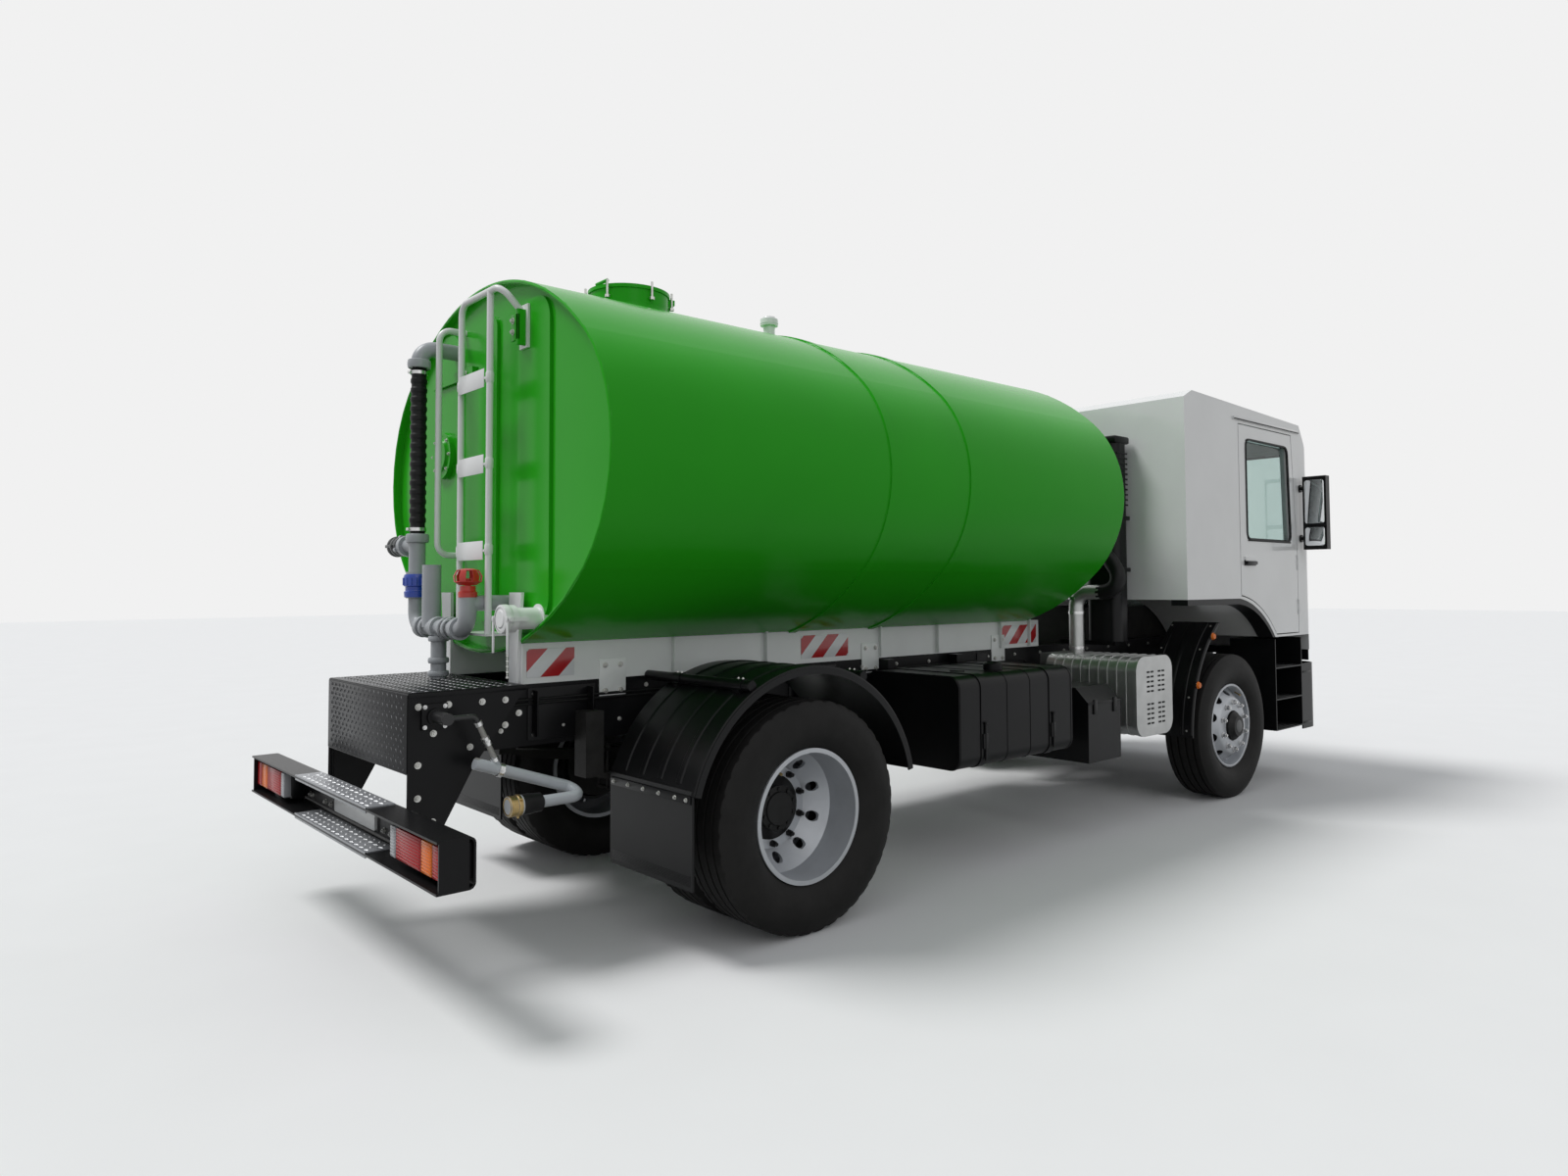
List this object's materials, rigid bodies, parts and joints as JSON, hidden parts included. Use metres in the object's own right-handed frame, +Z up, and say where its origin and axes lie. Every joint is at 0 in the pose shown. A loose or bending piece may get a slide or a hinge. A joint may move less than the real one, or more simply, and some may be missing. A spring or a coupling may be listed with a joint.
{
  "type": "tanker truck",
  "caption": "Two-axle lorry with an elliptical tank, rear ladder, pipework and spray arm, and a tilting cab-over cab.",
  "frame": {"origin": "middle of the truck's bounding box on the road", "axes": "+X forward, +Y to the truck's left, +Z up"},
  "size_m": [7.16, 2.9, 3.12],
  "materials": {
    "tank_green": "gloss",
    "frame_white": "satin",
    "chassis_black": "satin",
    "black_plastic": "matte",
    "cab_white": "gloss",
    "pipe_grey": "satin",
    "valve_red": "satin",
    "hose_black": "matte",
    "lamp_lens": "gloss",
    "head_lens": "gloss",
    "tread_plate": "satin",
    "silencer_steel": "satin",
    "tyre": "matte",
    "rim_silver": "satin",
    "cast_black": "rough",
    "glass": "clear",
    "seat_cloth": "matte"
  },
  "bodies": {
    "chassis": {"chassis_frame": "chassis_black", "subframe": "frame_white", "tank": "tank_green", "manhole_neck": "tank_green", "vent": "frame_white", "ladder": "frame_white", "equipment_box": "chassis_black", "rear_bumper": "chassis_black", "bumper_steps": "tread_plate", "tail_lamps": "lamp_lens", "pipework": "pipe_grey", "suction_hose": "hose_black", "handwheel": "valve_red", "outlet_coupling": "frame_white", "spray_arm": "pipe_grey", "rear_mudguards": "black_plastic", "mudguard_carriers": "chassis_black", "fuel_tank": "chassis_black", "battery_box": "black_plastic", "exhaust": "silencer_steel", "air_intake": "black_plastic", "air_tanks": "chassis_black", "rear_axle": "cast_black", "springs": "cast_black", "front_axle": "cast_black", "driveline": "cast_black", "front_mudguards": "black_plastic", "front_bumper": "black_plastic", "headlamps": "head_lens", "step_wells": "black_plastic"},
    "lid": {"manhole_lid": "tank_green"},
    "cab": {"cab_shell": "cab_white", "cab_glass": "glass", "grille": "black_plastic", "cab_arches": "black_plastic", "mirrors": "black_plastic", "dashboard": "black_plastic", "steering_wheel": "black_plastic", "seats": "seat_cloth"},
    "door_left": {"door_left": "cab_white", "door_glass_left": "glass"},
    "door_right": {"door_right": "cab_white", "door_glass_right": "glass"},
    "knuckle_left": {"knuckle_left": "cast_black"},
    "knuckle_right": {"knuckle_right": "cast_black"},
    "front_wheel_left": {"tyre_front_left": "tyre", "rim_front_left": "rim_silver", "hub_front_left": "cast_black"},
    "front_wheel_right": {"tyre_front_right": "tyre", "rim_front_right": "rim_silver", "hub_front_right": "cast_black"},
    "rear_wheels_left": {"tyres_rear_left": "tyre", "rims_rear_left": "rim_silver", "hub_rear_left": "cast_black"},
    "rear_wheels_right": {"tyres_rear_right": "tyre", "rims_rear_right": "rim_silver", "hub_rear_right": "cast_black"}
  },
  "joints": [
    {"name": "cab_tilt", "type": "hinge", "parent": "chassis", "child": "cab", "pos_m": [3.43, 0, 0.94], "axis": [0, 1, 0], "range_deg": [0, 55]},
    {"name": "door_left_swing", "type": "hinge", "parent": "cab", "child": "door_left", "pos_m": [3.209, 1.235, 1.9], "axis": [0, 0, -1], "range_deg": [0, 70]},
    {"name": "door_right_swing", "type": "hinge", "parent": "cab", "child": "door_right", "pos_m": [3.209, -1.235, 1.9], "axis": [0, 0, 1], "range_deg": [0, 70]},
    {"name": "steer_left", "type": "hinge", "parent": "chassis", "child": "knuckle_left", "pos_m": [2.145, 0.86, 0.512], "axis": [0, 0, 1], "range_deg": [-40, 40]},
    {"name": "steer_right", "type": "hinge", "parent": "chassis", "child": "knuckle_right", "pos_m": [2.145, -0.86, 0.512], "axis": [0, 0, 1], "range_deg": [-40, 40]},
    {"name": "front_spin_left", "type": "hinge", "parent": "knuckle_left", "child": "front_wheel_left", "pos_m": [2.145, 1.058, 0.512], "axis": [0, 1, 0], "continuous": true},
    {"name": "front_spin_right", "type": "hinge", "parent": "knuckle_right", "child": "front_wheel_right", "pos_m": [2.145, -1.058, 0.512], "axis": [0, 1, 0], "continuous": true},
    {"name": "rear_spin_left", "type": "hinge", "parent": "chassis", "child": "rear_wheels_left", "pos_m": [-1.925, 0.908, 0.512], "axis": [0, 1, 0], "continuous": true},
    {"name": "rear_spin_right", "type": "hinge", "parent": "chassis", "child": "rear_wheels_right", "pos_m": [-1.925, -0.908, 0.512], "axis": [0, 1, 0], "continuous": true},
    {"name": "lid_swing", "type": "hinge", "parent": "chassis", "child": "lid", "pos_m": [-1.892, 0, 3.059], "axis": [0, 1, 0], "range_deg": [0, 110]}
  ],
  "couplings": [
    {"joint": "steer_right", "follows": "steer_left", "ratio": 1}
  ]
}
